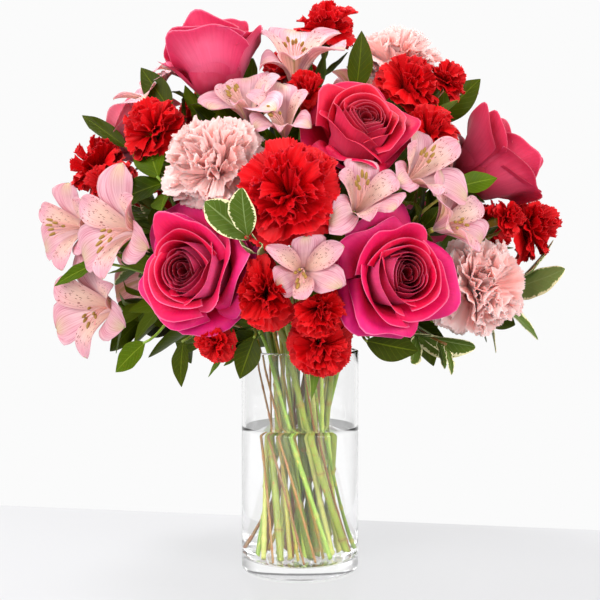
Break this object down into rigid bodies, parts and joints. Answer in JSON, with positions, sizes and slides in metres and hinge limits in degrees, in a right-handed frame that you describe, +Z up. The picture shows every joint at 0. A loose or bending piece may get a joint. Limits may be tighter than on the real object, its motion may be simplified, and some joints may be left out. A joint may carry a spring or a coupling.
{
  "type": "carnation and rose bouquet in a glass vase",
  "caption": "Round mixed bouquet of carnations, roses, Peruvian lilies and greenery standing in a clear glass cylinder vase part filled with water.",
  "frame": {"origin": "centre of the vase's foot, on the surface that it stands on", "axes": "+Z up along the vase's axis; the bouquet's front, as pictured, faces -Y and +X is to its right"},
  "size_m": [0.4461, 0.377, 0.4856],
  "materials": {
    "glass": "clear, polished",
    "water": "clear, still",
    "rose_petal": "velvety hot pink, paler at the backs",
    "red_petal": "fringed saturated red",
    "blush_petal": "fringed pale blush pink",
    "lily_petal": "pale pink with dark dashes and yellow throats",
    "stem": "satin light green",
    "foliage": "glossy dark green, some cream edged"
  },
  "bodies": {
    "root": {"vase": "glass", "water": "water", "rose_top_left": "rose_petal", "rose_left_back": "rose_petal", "rose_upper_right": "rose_petal", "rose_right": "rose_petal", "rose_lower_left": "rose_petal", "rose_lower_right": "rose_petal", "rose_back_left": "rose_petal", "rose_back_right": "rose_petal", "carnation_blush_left": "blush_petal", "carnation_blush_top": "blush_petal", "carnation_blush_right": "blush_petal", "carnation_blush_back": "blush_petal", "carnation_red_middle": "red_petal", "carnation_red_back": "red_petal", "spray_carnation_left": "red_petal", "spray_carnation_top": "red_petal", "spray_carnation_upper_right": "red_petal", "spray_carnation_right": "red_petal", "spray_carnation_low": "red_petal", "spray_carnation_middle": "red_petal", "spray_carnation_back": "red_petal", "lily_spray_top": "lily_petal", "lily_spray_top_left": "lily_petal", "lily_spray_left": "lily_petal", "lily_spray_middle": "lily_petal", "lily_spray_right": "lily_petal", "lily_spray_right_back": "lily_petal", "lily_spray_back": "lily_petal", "lily_spray_back_left": "lily_petal", "pittosporum_middle": "foliage", "pittosporum_right": "foliage", "pittosporum_left": "foliage", "salal_left": "foliage", "salal_back": "foliage", "salal_right": "foliage", "salal_high": "foliage", "rose_top_left_stem": "stem", "rose_left_back_stem": "stem", "rose_upper_right_stem": "stem", "rose_right_stem": "stem", "rose_lower_left_stem": "stem", "rose_lower_right_stem": "stem", "rose_back_left_stem": "stem", "rose_back_right_stem": "stem", "carnation_blush_left_stem": "stem", "carnation_blush_top_stem": "stem", "carnation_blush_right_stem": "stem", "carnation_blush_back_stem": "stem", "carnation_red_middle_stem": "stem", "carnation_red_back_stem": "stem"}
  },
  "joints": []
}
